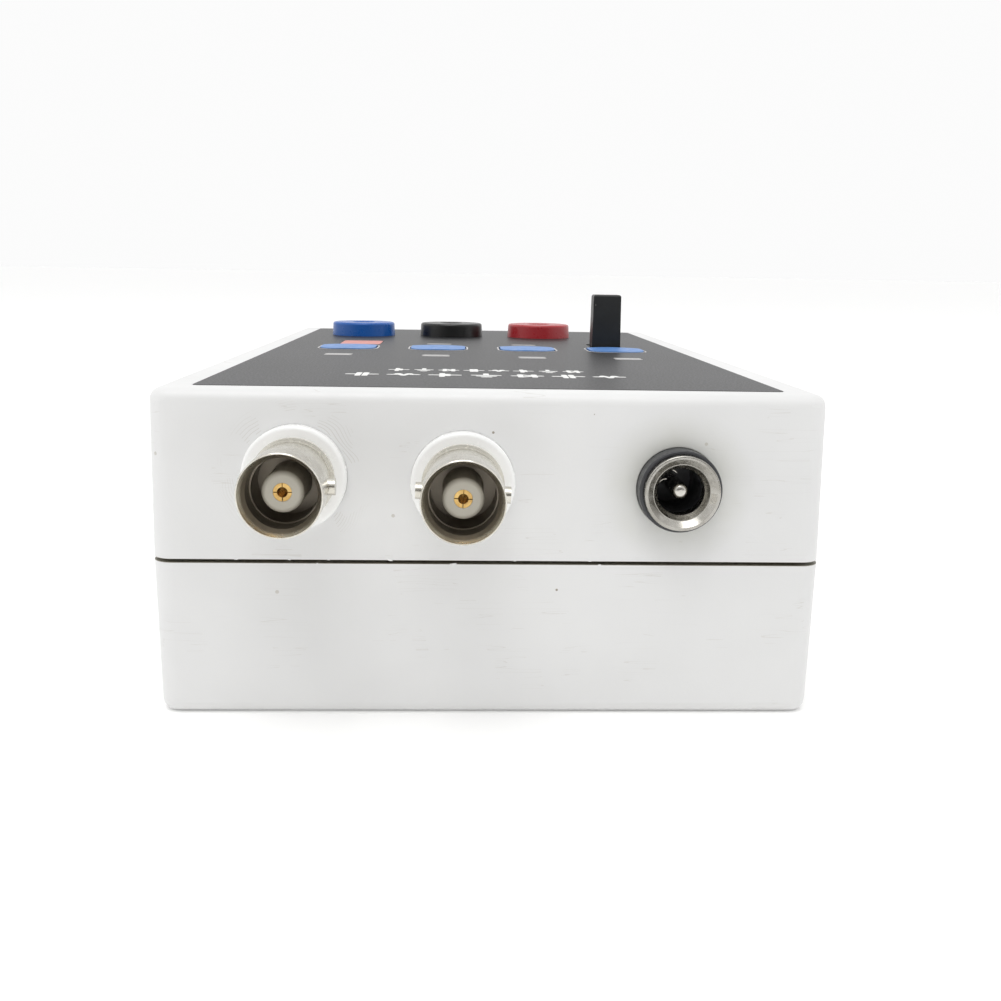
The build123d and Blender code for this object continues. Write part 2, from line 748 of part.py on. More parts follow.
with BuildPart() as signal_relays:
    under_board([(-relay_x, relay_y), (relay_x, relay_y)], relay_width, relay_length, relay_height)
    fillet(signal_relays.edges().filter_by(Axis.Z), radius=relay_fillet)
write(signal_relays, "signal_relays")

with BuildPart() as crystal:
    with BuildSketch(Plane.XY.offset(board_bottom_z)):
        with Locations((crystal_x, back_zone_y)):
            SlotOverall(crystal_length, crystal_width)
    extrude(amount=-crystal_height)
write(crystal, "crystal")

with BuildPart() as range_resistors:
    resistor_z = board_bottom_z - resistor_radius
    with Locations(*[(resistor_x + i * resistor_pitch, back_zone_y, resistor_z) for i in range(4)]):
        Cylinder(resistor_radius, resistor_length, rotation=(90, 0, 0))
write(range_resistors, "range_resistors")

# Leads: outputs and power inlet to the front of the board, sockets to its back edge
signal_pad_y = board_front_y + signal_pad_inset
ground_pad_y = board_front_y + ground_pad_inset
with BuildPart() as output_leads:
    for x, z, turn in coaxes.values():
        tag_y = inner_front_y + washer_thickness + tag_thickness
        pot_y = tag_y + coax_nut_height + shank_spare + solder_pot
        add(lead([
            (x, pot_y, z),
            (x, pot_y + lead_straight, z),
            (x, signal_pad_y - lead_straight, z - coax_lead_drop),
            (x, signal_pad_y, z - coax_lead_drop),
            (x, signal_pad_y, board_bottom_z),
        ]))
        add(lead([
            (x, tag_y, z - tag_drop + tag_width / 2),
            (x, ground_pad_y, z - tag_drop + tag_width / 2),
            (x, ground_pad_y, board_bottom_z),
        ]))
write(output_leads, "output_leads")

with BuildPart() as power_leads:
    for side in (-1, 1):
        x = jack_x + side * jack_tag_spread
        start_y = jack_end_y + jack_tag_length
        add(lead([
            (x, start_y, jack_z),
            (x, start_y + lead_straight, jack_z),
            (x, signal_pad_y - lead_straight, jack_z - coax_lead_drop),
            (x, signal_pad_y, jack_z - coax_lead_drop),
            (x, signal_pad_y, board_bottom_z),
        ]))
write(power_leads, "power_leads")

stud_end_z = contact_top_z - contact_depth - contact_wall - stud_length
socket_pad_y = board_back_y - socket_pad_inset
with BuildPart() as socket_leads:
    for x, y in socket_places:
        add(lead([
            (x, y, stud_end_z),
            (x, y, stud_end_z - lead_straight),
            (x, socket_pad_y, stud_end_z - lead_straight),
            (x, socket_pad_y, board_bottom_z),
        ]))
write(socket_leads, "socket_leads")
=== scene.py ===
import json
import math
import random
import bpy
from mathutils import Matrix, Vector


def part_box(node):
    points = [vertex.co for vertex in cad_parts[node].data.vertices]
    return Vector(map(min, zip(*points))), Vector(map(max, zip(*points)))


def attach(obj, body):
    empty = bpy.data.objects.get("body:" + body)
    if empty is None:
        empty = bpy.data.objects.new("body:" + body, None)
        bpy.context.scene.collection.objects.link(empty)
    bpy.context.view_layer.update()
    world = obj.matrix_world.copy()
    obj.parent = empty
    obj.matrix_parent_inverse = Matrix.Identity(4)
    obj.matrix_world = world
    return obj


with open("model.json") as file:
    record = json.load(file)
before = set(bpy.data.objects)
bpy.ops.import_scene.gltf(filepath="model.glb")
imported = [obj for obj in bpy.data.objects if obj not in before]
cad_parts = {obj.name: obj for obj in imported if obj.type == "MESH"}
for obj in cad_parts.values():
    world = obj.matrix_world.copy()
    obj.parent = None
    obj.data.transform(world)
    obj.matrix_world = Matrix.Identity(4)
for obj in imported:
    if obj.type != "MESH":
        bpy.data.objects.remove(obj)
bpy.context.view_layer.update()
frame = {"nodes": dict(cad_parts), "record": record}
mm = 0.001
print("stage: frame loaded")

nodes = frame["nodes"]
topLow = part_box("top_shell")[0]
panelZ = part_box("overlay_label")[1].z
frontY = topLow.y  # the front wall stands out furthest at the seam
seamZ = topLow.z  # the screw bosses meet here, in the middle of the gap
seamGap = 0.46 * mm


def deselectAll():
    if bpy.context.mode != "OBJECT":
        bpy.ops.object.mode_set(mode="OBJECT")
    bpy.ops.object.select_all(action="DESELECT")


def openEdit(piece, kind, chosen):  # edit mode with the chosen edges or vertices selected
    if bpy.context.mode != "OBJECT":
        bpy.ops.object.mode_set(mode="OBJECT")
    bpy.context.view_layer.objects.active = piece
    bpy.ops.object.mode_set(mode="EDIT")
    bpy.ops.mesh.select_mode(type=kind)
    bpy.ops.mesh.select_all(action="DESELECT")
    bpy.ops.object.mode_set(mode="OBJECT")
    mesh = piece.data
    for element in {"VERT": mesh.vertices, "EDGE": mesh.edges}[kind]:
        element.select = bool(chosen(element))
    bpy.ops.object.mode_set(mode="EDIT")


# The place is applied to the mesh, then the piece is tied to its body
def finishPiece(piece, name, material, body="case"):
    deselectAll()
    piece.select_set(True)
    bpy.context.view_layer.objects.active = piece
    bpy.ops.object.transform_apply(location=True, rotation=True, scale=True)
    piece.name = name
    piece.data.materials.clear()
    piece.data.materials.append(material)
    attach(piece, body)


def joinPieces(pieces):
    deselectAll()
    for piece in pieces:
        piece.select_set(True)
    bpy.context.view_layer.objects.active = pieces[0]
    bpy.ops.object.join()
    return bpy.context.object


def nodeCentre(name):
    low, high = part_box(name)
    return (low + high) / 2


# Camera, angles in degrees
cameraSettings = {
    "place": Vector((-4.30, -205.56, 55.32)) * mm,
    "yaw": 2.344,
    "pitch": 11.624,
    "roll": 0.936,
    "lens": 40.35,
    "sensor": 36,
}


def makeCamera(settings):
    yaw, pitch, roll = (math.radians(settings[name]) for name in ("yaw", "pitch", "roll"))
    forward = Vector((math.sin(yaw) * math.cos(pitch), math.cos(yaw) * math.cos(pitch), -math.sin(pitch)))
    right = Vector((math.cos(yaw), -math.sin(yaw), 0))
    up = right.cross(forward)
    rightRolled = right * math.cos(roll) + up * math.sin(roll)
    upRolled = up * math.cos(roll) - right * math.sin(roll)
    data = bpy.data.cameras.new("camera")
    data.lens = settings["lens"]
    data.sensor_width = settings["sensor"]
    data.clip_start, data.clip_end = 0.01, 20
    camera = bpy.data.objects.new("camera", data)
    bpy.context.scene.collection.objects.link(camera)
    turn = Matrix((rightRolled, upRolled, -forward)).transposed().to_4x4()
    camera.matrix_world = Matrix.Translation(settings["place"]) @ turn
    bpy.context.scene.camera = camera


makeCamera(cameraSettings)


# Steps that the materials are built from
def newTree(name, roughness=0.5, metallic=0.0):
    material = bpy.data.materials.new(name)
    material.use_nodes = True
    tree = material.node_tree
    tree.nodes.clear()
    output = tree.nodes.new("ShaderNodeOutputMaterial")
    shader = tree.nodes.new("ShaderNodeBsdfPrincipled")
    shader.inputs["Roughness"].default_value = roughness
    shader.inputs["Metallic"].default_value = metallic
    tree.links.new(shader.outputs["BSDF"], output.inputs["Surface"])
    coords = tree.nodes.new("ShaderNodeTexCoord")
    return material, tree, shader, coords.outputs["Object"]


def mathNode(tree, operation, a, b=0.0):
    node = tree.nodes.new("ShaderNodeMath")
    node.operation = operation
    for socket, value in zip(node.inputs, (a, b)):
        if isinstance(value, (int, float)):
            socket.default_value = value
        else:
            tree.links.new(value, socket)
    return node.outputs[0]


def product(tree, first, *others):
    for other in others:
        first = mathNode(tree, "MULTIPLY", first, other)
    return first


def noise(tree, vector, scale, detail, roughness=0.5, stretch=None):
    if stretch:
        mapping = tree.nodes.new("ShaderNodeMapping")
        mapping.inputs["Scale"].default_value = stretch
        tree.links.new(vector, mapping.inputs["Vector"])
        vector = mapping.outputs["Vector"]
    node = tree.nodes.new("ShaderNodeTexNoise")
    node.inputs["Scale"].default_value = scale
    node.inputs["Detail"].default_value = detail
    node.inputs["Roughness"].default_value = roughness
    tree.links.new(vector, node.inputs["Vector"])
    return node.outputs["Fac"]


def ramp(tree, value, low, high):  # each end is a position and a colour
    node = tree.nodes.new("ShaderNodeValToRGB")
    for element, (position, colour) in zip(node.color_ramp.elements, (low, high)):
        element.position = position
        element.color = colour
    tree.links.new(value, node.inputs["Fac"])
    return node.outputs["Color"]


def mixColour(tree, factor, first, second):
    node = tree.nodes.new("ShaderNodeMix")
    node.data_type = "RGBA"
    for name, value in (("Factor", factor), ("A", first), ("B", second)):
        if isinstance(value, (int, float, tuple)):
            node.inputs[name].default_value = value
        else:
            tree.links.new(value, node.inputs[name])
    return node.outputs["Result"]


def mapRange(tree, value, low, high, toLow, toHigh):
    node = tree.nodes.new("ShaderNodeMapRange")
    for socket, number in zip(node.inputs[1:5], (low, high, toLow, toHigh)):
        socket.default_value = number
    tree.links.new(value, node.inputs[0])
    return node.outputs[0]


def spread(tree, value, toLow, toHigh):  # noise lies mostly between 0.3 and 0.7
    return mapRange(tree, value, 0.3, 0.7, toLow, toHigh)


def separate(tree, vector, axis):
    parts = tree.nodes.new("ShaderNodeSeparateXYZ")
    tree.links.new(vector, parts.inputs[0])
    return parts.outputs[axis]


def bump(tree, shader, height, distance, strength):
    node = tree.nodes.new("ShaderNodeBump")
    node.inputs["Distance"].default_value = distance
    node.inputs["Strength"].default_value = strength
    tree.links.new(height, node.inputs["Height"])
    tree.links.new(node.outputs["Normal"], shader.inputs["Normal"])


def specks(tree, vector, scale, size, share):  # small dots in a share of the cells
    cells = tree.nodes.new("ShaderNodeTexVoronoi")
    cells.inputs["Scale"].default_value = scale
    tree.links.new(vector, cells.inputs["Vector"])
    dot = mathNode(tree, "LESS_THAN", cells.outputs["Distance"], size)
    parts = tree.nodes.new("ShaderNodeSeparateColor")
    tree.links.new(cells.outputs["Color"], parts.inputs[0])
    chosen = mathNode(tree, "LESS_THAN", parts.outputs[0], share)
    return product(tree, dot, chosen)


def patches(tree, vector, scale, above):  # on where the noise is above the value, off elsewhere
    return mathNode(tree, "GREATER_THAN", noise(tree, vector, scale, 2.0), above)


def distanceFrom(tree, vector, centre):  # in the front wall's own plane, across and up
    flat = tree.nodes.new("ShaderNodeVectorMath")
    flat.operation = "MULTIPLY_ADD"
    flat.inputs[1].default_value = (1, 0, 1)
    flat.inputs[2].default_value = (-centre.x, 0, -centre.z)
    tree.links.new(vector, flat.inputs[0])
    length = tree.nodes.new("ShaderNodeVectorMath")
    length.operation = "LENGTH"
    tree.links.new(flat.outputs["Vector"], length.inputs[0])
    return length.outputs["Value"]


# The moulded case: clouded white with specks, scuffs and tool marks, painted shade round the power inlet
# and painted shade in the seam gap
caseFinish = {
    "shade": (0.765, 0.765, 0.76, 1),
    "light": (0.815, 0.815, 0.81, 1),
    "cloudScale": 45,
    "speck": (0.34, 0.30, 0.25, 1),
    "specks": {"scale": 250, "size": 0.045, "share": 0.10},
    "scuff": (0.62, 0.60, 0.56, 1),
    "dots": {"scale": 420, "size": 0.10, "share": 0.03},
    "scratchStretch": (0.35, 1.0, 9.0),  # long across the case, close together upwards
    "scratchScale": 120,
    "scratchWidth": 0.004,
    "scratchPatches": {"scale": 160, "above": 0.56},
    "scratchStrength": 0.35,
    "scratchDepth": 0.8,  # of the grain's
    # painted shade: the faces inside the seam gap are painted dark olive, where shade falls between the
    # shells
    "seamPaintedShade": (0.34, 0.32, 0.26, 1),
    "seamShadeHalf": seamGap / 2 + 0.02 * mm,  # half of the band inside the seam gap that is painted dark as shade
    "wallDepth": 2 * mm,  # painted inlet shade and tool marks stay on the front wall
    # painted shade: an olive tint round the inlet that stands in for the shadow and reflection of its
    # black flange
    "inletShade": (0.56, 0.56, 0.45, 1),
    "inletShadeReach": (4.8 * mm, 9.8 * mm),  # from the inlet's axis
    "inletShadeStrength": 0.45,
    "inletShadeScale": 260,
    "inletShadeUneven": (0.5, 1.0),
    "toolMarkReach": (6.6 * mm, 9.8 * mm),  # from the left output's axis
    "toolMarkPitch": 0.34 * mm,
    "toolMarkLine": 0.86,  # a higher value makes thinner lines
    "toolMarkPatches": {"scale": 210, "above": 0.54},
    "wobbleScale": 120,
    "wobble": 4,  # pitches that a tool mark strays
    "toolMarkStrength": 0.85,
    "toolMarkDepth": 1.2,  # of the grain's
    "sheenScale": 700,
    "roughness": (0.36, 0.50),
    "grainScale": 2600,
    "grainDepth": 0.03 * mm,
}


def caseScratches(tree, place, look):  # thin broken lines
    lines = noise(tree, place, look["scratchScale"], 2.0, 0.4, look["scratchStretch"])
    middle = mathNode(tree, "ABSOLUTE", mathNode(tree, "SUBTRACT", lines, 0.5))
    thin = mathNode(tree, "LESS_THAN", middle, look["scratchWidth"])
    return product(tree, thin, patches(tree, place, **look["scratchPatches"]))


def inletShade(tree, place, look, front):  # painted shade: a patchy darker olive haze round the power inlet, standing in for the shadow and reflection of its black flange
    near, far = look["inletShadeReach"]
    inlet = distanceFrom(tree, place, nodeCentre("jack_sleeve"))
    haze = mapRange(tree, inlet, near, far, look["inletShadeStrength"], 0.0)
    uneven = spread(tree, noise(tree, place, look["inletShadeScale"], 2.0), *look["inletShadeUneven"])
    return product(tree, haze, front, uneven)


def toolMarks(tree, place, look, front):  # uneven arcs round the left output
    near, far = look["toolMarkReach"]
    pitch = look["toolMarkPitch"]
    around = distanceFrom(tree, place, nodeCentre("coax_left_collar"))
    fading = mapRange(tree, around, near, far, 1.0, 0.0)
    outside = mathNode(tree, "GREATER_THAN", around, near)
    broken = patches(tree, place, **look["toolMarkPatches"])
    wobble = spread(tree, noise(tree, place, look["wobbleScale"], 2.0), 0.0, look["wobble"] * pitch)
    turns = product(tree, mathNode(tree, "ADD", around, wobble), 2 * math.pi / pitch)
    cuts = mathNode(tree, "GREATER_THAN", mathNode(tree, "SINE", turns), look["toolMarkLine"])
    return product(tree, fading, outside, broken, front, cuts)


def caseMaterial():
    look = caseFinish
    material, tree, shader, place = newTree("mouldedWhite")
    cloud = noise(tree, place, look["cloudScale"], 3.0)
    tone = ramp(tree, cloud, (0.3, look["shade"]), (0.7, look["light"]))
    tone = mixColour(tree, specks(tree, place, **look["specks"]), tone, look["speck"])
    tone = mixColour(tree, specks(tree, place, **look["dots"]), tone, look["scuff"])
    scratched = caseScratches(tree, place, look)
    tone = mixColour(tree, product(tree, scratched, look["scratchStrength"]), tone, look["scuff"])
    front = mathNode(tree, "LESS_THAN", separate(tree, place, "Y"), frontY + look["wallDepth"])
    # painted shade round the power inlet
    tone = mixColour(tree, inletShade(tree, place, look, front), tone, look["inletShade"])
    marks = toolMarks(tree, place, look, front)
    tone = mixColour(tree, product(tree, marks, look["toolMarkStrength"]), tone, look["scuff"])
    # painted shade: the faces inside the seam gap are painted dark olive
    fromSeam = mathNode(tree, "ABSOLUTE", mathNode(tree, "SUBTRACT", separate(tree, place, "Z"), seamZ))
    seamShadeMask = mathNode(tree, "LESS_THAN", fromSeam, look["seamShadeHalf"])
    tone = mixColour(tree, seamShadeMask, tone, look["seamPaintedShade"])
    tree.links.new(tone, shader.inputs["Base Color"])
    sheen = noise(tree, place, look["sheenScale"], 4.0)
    tree.links.new(spread(tree, sheen, *look["roughness"]), shader.inputs["Roughness"])
    grain = noise(tree, place, look["grainScale"], 3.0, 0.6)
    height = mathNode(tree, "SUBTRACT", grain, product(tree, scratched, look["scratchDepth"]))
    height = mathNode(tree, "SUBTRACT", height, product(tree, marks, look["toolMarkDepth"]))
    bump(tree, shader, height, look["grainDepth"], 0.35)
    return material


plasticFinish = {
    "cloudScale": 260,
    "dustTone": (0.6, 0.58, 0.54, 1),
    "dust": {"scale": 900, "size": 0.10, "share": 0.05},
    "dustStrength": 0.25,
    "sheenScale": 900,
    "sheen": (-0.07, 0.09),  # added to the roughness
    "grainScale": 2400,
}


def plasticMaterial(name, colour, roughness, grainDepth=0.02 * mm, variation=0.12):
    look = plasticFinish
    material, tree, shader, place = newTree(name)
    cloud = noise(tree, place, look["cloudScale"], 4.0)
    dark = tuple(c * (1 - variation) for c in colour) + (1,)
    light = tuple(min(1.0, c * (1 + variation)) for c in colour) + (1,)
    tone = ramp(tree, cloud, (0.35, dark), (0.65, light))
    dust = product(tree, specks(tree, place, **look["dust"]), look["dustStrength"])
    tree.links.new(mixColour(tree, dust, tone, look["dustTone"]), shader.inputs["Base Color"])
    sheen = noise(tree, place, look["sheenScale"], 3.0)
    rough = spread(tree, sheen, *(roughness + change for change in look["sheen"]))
    tree.links.new(rough, shader.inputs["Roughness"])
    bump(tree, shader, noise(tree, place, look["grainScale"], 3.0, 0.6), grainDepth, 0.5)
    return material


metalFinish = {
    "cloudScale": 420,
    "brushScale": 1500,
    "brushing": (0.7, 1.4),  # shares of the roughness
    "depth": 0.008 * mm,
}


def plateTone(tree, place, colour, stain):  # returns the colour and the clouds that it follows
    cloud = noise(tree, place, metalFinish["cloudScale"], 5.0, 0.6)
    return ramp(tree, cloud, (0.38, stain + (1,)), (0.62, colour + (1,))), cloud


def metalMaterial(name, colour, roughness, stain):
    look = metalFinish
    material, tree, shader, place = newTree(name, metallic=1.0)
    tone, _ = plateTone(tree, place, colour, stain)
    tree.links.new(tone, shader.inputs["Base Color"])
    brushing = noise(tree, place, look["brushScale"], 3.0, 0.6)
    rough = spread(tree, brushing, *(roughness * share for share in look["brushing"]))
    tree.links.new(rough, shader.inputs["Roughness"])
    bump(tree, shader, brushing, look["depth"], 0.6)
    return material


labelFinish = {
    "dark": (0.022, 0.022, 0.023, 1),
    "light": (0.030, 0.030, 0.032, 1),
    "fleck": (0.144, 0.144, 0.144, 1),
    "fleckFrom": 0.66,  # grain above this is a fleck
    "fleckStrength": 0.4,
    "cloudScale": 60,
    "ior": 1.29,
    "roughness": (0.32, 0.46),
    "grainScale": 3200,
    "grainDepth": 0.03 * mm,
}


def labelMaterial():
    look = labelFinish
    material, tree, shader, place = newTree("graphiteFilm")
    cloud = noise(tree, place, look["cloudScale"], 4.0)
    tone = ramp(tree, cloud, (0.3, look["dark"]), (0.7, look["light"]))
    grain = noise(tree, place, look["grainScale"], 2.0, 0.7)
    fleck = product(tree, mathNode(tree, "GREATER_THAN", grain, look["fleckFrom"]), look["fleckStrength"])
    tree.links.new(mixColour(tree, fleck, tone, look["fleck"]), shader.inputs["Base Color"])
    tree.links.new(spread(tree, grain, *look["roughness"]), shader.inputs["Roughness"])
    shader.inputs["IOR"].default_value = look["ior"]
    bump(tree, shader, grain, look["grainDepth"], 0.4)
    return material


capGrain = 0.005 * mm  # the socket caps are polished

materials = {
    "case_white": caseMaterial(),
    "collar_white": plasticMaterial("glossyWhite", (0.95, 0.95, 0.94), 0.22, variation=0.02),
    "label_graphite": labelMaterial(),
    "key_blue": plasticMaterial("keyBlue", (0.10, 0.25, 0.58), 0.40, variation=0.05),
    "window_red": plasticMaterial("windowRed", (0.68, 0.27, 0.23), 0.45, variation=0.05),
    "socket_blue": plasticMaterial("capBlue", (0.008, 0.11, 0.44), 0.30, capGrain, variation=0.03),
    "socket_black": plasticMaterial("capBlack", (0.008, 0.008, 0.008), 0.32, capGrain, variation=0.05),
    "socket_red": plasticMaterial("capRed", (0.44, 0.030, 0.038), 0.30, capGrain, variation=0.03),
    "black_plastic": plasticMaterial("satinBlack", (0.014, 0.015, 0.015), 0.42),
    "nickel": metalMaterial("nickelPlate", (0.62, 0.60, 0.55), 0.20, (0.50, 0.47, 0.42)),
    "tinned_steel": metalMaterial("tinnedSheet", (0.60, 0.60, 0.60), 0.32, (0.50, 0.50, 0.49)),
    "screw_steel": metalMaterial("zincScrew", (0.52, 0.52, 0.53), 0.30, (0.40, 0.40, 0.40)),
    "gold": metalMaterial("goldPlate", (0.76, 0.52, 0.20), 0.20, (0.52, 0.32, 0.11)),
    "insulator_white": plasticMaterial("creamInsulator", (0.55, 0.52, 0.44), 0.38, variation=0.03),
    "board_green": plasticMaterial("boardGreen", (0.02, 0.18, 0.07), 0.35),
    "capacitor_sleeve": plasticMaterial("sleeveBlack", (0.03, 0.03, 0.09), 0.25),
    "relay_case": plasticMaterial("relayCream", (0.70, 0.67, 0.58), 0.35),
    "resistor_body": plasticMaterial("resistorBlue", (0.20, 0.40, 0.52), 0.30),
    "lead_insulation": plasticMaterial("leadRed", (0.45, 0.04, 0.035), 0.40),
}


# An output barrel: bright plate, painted darker brown and rougher inside the bore, and painted light
# beside the collar: lighter beige and mostly not metal, so it looks lit instead of reflecting the dark
# room
outputFinish = {
    "plate": (0.72, 0.70, 0.64),
    "plateStain": (0.62, 0.59, 0.52),
    "roughness": (0.16, 0.30),
    "rimDepth": 1.0 * mm,
    "boreTone": (0.32, 0.285, 0.235, 1),
    "boreRadius": 4.34 * mm,
    "boreEdge": 0.2 * mm,
    "boreRoughness": 0.40,
    # painted light: a lighter beige band beside the collar that is mostly not metal, so the root looks
    # lit instead of reflecting the dark room
    "rootLitTone": (0.76, 0.74, 0.68, 1),
    "rootReach": (2.0 * mm, 3.2 * mm),
    "rootMetal": 0.25,
}


def rimCentre(name, depth):  # middle of a barrel's front end, where its axis comes out
    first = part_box(name)[0].y
    rim = [vertex.co for vertex in nodes[name].data.vertices if vertex.co.y < first + depth]
    low = Vector(min(co[i] for co in rim) for i in range(3))
    high = Vector(max(co[i] for co in rim) for i in range(3))
    return (low + high) / 2


def outputMaterial(side):
    look = outputFinish
    material, tree, shader, place = newTree(f"outputPlate_{side}")
    tone, cloud = plateTone(tree, place, look["plate"], look["plateStain"])
    away = distanceFrom(tree, place, rimCentre(f"coax_{side}_shell", look["rimDepth"]))
    bore = mapRange(tree, away, look["boreRadius"], look["boreRadius"] + look["boreEdge"], 1.0, 0.0)
    tone = mixColour(tree, bore, tone, look["boreTone"])
    # painted light beside the collar: lighter beige and mostly not metal
    reach = mathNode(tree, "SUBTRACT", frontY, separate(tree, place, "Y"))
    outside = mathNode(tree, "SUBTRACT", 1.0, bore)
    root = mapRange(tree, reach, look["rootReach"][0], look["rootReach"][1], 1.0, 0.0)
    root = product(tree, root, outside)
    tree.links.new(mixColour(tree, root, tone, look["rootLitTone"]), shader.inputs["Base Color"])
    tree.links.new(mapRange(tree, root, 0.0, 1.0, 1.0, look["rootMetal"]), shader.inputs["Metallic"])
    wear = spread(tree, noise(tree, place, metalFinish["brushScale"], 3.0), *look["roughness"])
    rough = mathNode(tree, "MAXIMUM", wear, product(tree, bore, look["boreRoughness"]))
    tree.links.new(rough, shader.inputs["Roughness"])
    bump(tree, shader, cloud, metalFinish["depth"], 0.5)
    return material


ownMaterials = {  # nodes whose finish differs from the rest of their slot
    "coax_left_shell": outputMaterial("left"),
    "coax_right_shell": outputMaterial("right"),
    "jack_body": plasticMaterial("inletBlack", (0.040, 0.041, 0.045), 0.36, variation=0.08),
    "jack_sleeve": metalMaterial("inletSleeve", (0.48, 0.465, 0.43), 0.24, (0.36, 0.345, 0.31)),
}

slotOf = {part["node"]: part["material_slot"] for part in frame["record"]["subparts"]}
for name, node in nodes.items():
    node.data.materials.clear()
    node.data.materials.append(ownMaterials.get(name, materials[slotOf[name]]))
print("stage: materials made")

# White floor, white sky and one soft lamp above the front
studio = {
    "floorSize": 30.0,
    "floorTone": (0.95, 0.95, 0.945, 1),
    "floorGlow": 0.09,  # lifts the far floor to the tone of the background
    "skyTone": (1.0, 1.0, 1.0, 1),
    "skyStrength": 0.97,
    "cardTone": (0.10, 0.095, 0.09, 1),  # a dark room behind the camera, which the camera never sees
    "cardBack": (-1.0, -0.45),  # how it fades towards the front
    "cardTop": (0.35, 0.75),  # and upwards
    "lampPower": 5.0,
    "lampSize": 0.7,
    "lampPlace": Vector((-0.12, -0.45, 1.2)),
}


def makeFloor(settings):
    deselectAll()
    bpy.ops.mesh.primitive_plane_add(size=settings["floorSize"], location=(0, 0, 0))
    floor = bpy.context.object
    floor.name = "floor"
    material, _, shader, _ = newTree("floorWhite", 0.6)
    shader.inputs["Base Color"].default_value = settings["floorTone"]
    shader.inputs["Emission Color"].default_value = settings["skyTone"]
    shader.inputs["Emission Strength"].default_value = settings["floorGlow"]
    floor.data.materials.append(material)


def makeSky(settings):
    world = bpy.data.worlds.new("studioSky")
    bpy.context.scene.world = world
    world.use_nodes = True
    tree = world.node_tree
    sky = tree.nodes["Background"]
    facing = tree.nodes.new("ShaderNodeTexCoord").outputs["Generated"]
    behind = mapRange(tree, separate(tree, facing, "Y"), *settings["cardBack"], 1.0, 0.0)
    low = mapRange(tree, separate(tree, facing, "Z"), *settings["cardTop"], 1.0, 0.0)
    rays = tree.nodes.new("ShaderNodeLightPath")
    indirect = mathNode(tree, "SUBTRACT", 1.0, rays.outputs["Is Camera Ray"])
    card = product(tree, behind, low, indirect)
    tree.links.new(mixColour(tree, card, settings["skyTone"], settings["cardTone"]), sky.inputs["Color"])
    sky.inputs["Strength"].default_value = settings["skyStrength"]
    bpy.context.scene.view_settings.view_transform = "Standard"


def makeLamp(settings):
    light = bpy.data.lights.new("softbox", "AREA")
    light.shape = "SQUARE"
    light.size = settings["lampSize"]
    light.energy = settings["lampPower"]
    lamp = bpy.data.objects.new("softbox", light)
    bpy.context.scene.collection.objects.link(lamp)
    lamp.location = settings["lampPlace"]
    lamp.rotation_mode = "QUATERNION"
    lamp.rotation_quaternion = (-settings["lampPlace"]).to_track_quat("-Z", "Y")


makeFloor(studio)
makeSky(studio)
makeLamp(studio)
print("stage: studio made")

# Pale print on the panel: component signs in two rows, and bars for captions
printing = {
    "thickness": 0.03 * mm,
    "layerStep": 0.06,  # of the thickness, so that crossing lines don't share a top face
    "cornerShare": 0.45,  # of a line's width
    "signRows": (  # y and start are the first sign's place, and the row runs towards -X
        {"y": -50.3 * mm, "start": 16.9 * mm, "pitch": 5.7 * mm, "height": 6.0 * mm,
         "count": 7, "line": 0.8 * mm},
        {"y": -42.7 * mm, "start": 12.6 * mm, "pitch": 3.6 * mm, "height": 5.2 * mm,
         "count": 8, "line": 0.6 * mm},
    ),
    "signShare": (0.34, 0.42),  # half a sign's size, of the pitch and of the height
    "captionLength": 3.3 * mm,
    "captionWidth": 1.35 * mm,
    "captionPitch": 1.85 * mm,  # between a caption's two bars
    "captionPlaces": ((-0.1, -18.5), (-0.1, -18.8), (-0.35, -20.7), (-0.6, -20.7)),  # from the key, in mm
    "dashKeys": (2, 3),  # the keys with a dash behind them
    "dashLength": 3.4 * mm,
    "dashPlace": 4 * mm,
}

# Each sign is a list of strokes in a box from -1 to 1, across and along
signs = {
    "resistor": [
        ((-1, 0), (-0.6, 0)), ((-0.6, 0), (-0.4, 0.5)), ((-0.4, 0.5), (0, -0.5)),
        ((0, -0.5), (0.4, 0.5)), ((0.4, 0.5), (0.6, 0)), ((0.6, 0), (1, 0)),
    ],
    "capacitor": [
        ((-1, 0), (-0.25, 0)), ((-0.25, -0.8), (-0.25, 0.8)),
        ((0.25, -0.8), (0.25, 0.8)), ((0.25, 0), (1, 0)),
    ],
    "diode": [
        ((-1, 0), (-0.5, 0)), ((-0.5, -0.7), (-0.5, 0.7)), ((-0.5, 0.7), (0.5, 0)),
        ((-0.5, -0.7), (0.5, 0)), ((0.5, -0.7), (0.5, 0.7)), ((0.5, 0), (1, 0)),
    ],
    "ground": [
        ((0, 1), (0, 0.1)), ((-0.9, 0.1), (0.9, 0.1)),
        ((-0.55, -0.4), (0.55, -0.4)), ((-0.2, -0.9), (0.2, -0.9)),
    ],
    "cell": [
        ((-1, 0), (-0.2, 0)), ((-0.2, -0.9), (-0.2, 0.9)),
        ((0.2, -0.45), (0.2, 0.45)), ((0.2, 0), (1, 0)),
    ],
}


def isUpright(edge, mesh):
    first, last = (mesh.vertices[i].co for i in edge.vertices)
    return abs(first.z - last.z) > printing["thickness"] / 2


def stroke(start, end, width, layer=0):  # a flat line of ink between two points of the panel
    start, end = Vector(start), Vector(end)
    thickness = printing["thickness"] * (1 + printing["layerStep"] * layer)
    run = end - start
    middle = (start + end) / 2
    bpy.ops.mesh.primitive_cube_add(
        size=1,
        location=(middle.x, middle.y, panelZ + thickness / 2),
        rotation=(0, 0, math.atan2(run.y, run.x)),
        scale=(run.length + width, width, thickness),
    )
    line = bpy.context.object
    bpy.ops.object.transform_apply(location=True, rotation=True, scale=True)
    openEdit(line, "EDGE", lambda edge: isUpright(edge, line.data))
    bpy.ops.mesh.bevel(offset=width * printing["cornerShare"], segments=3)
    bpy.ops.object.mode_set(mode="OBJECT")
    return line


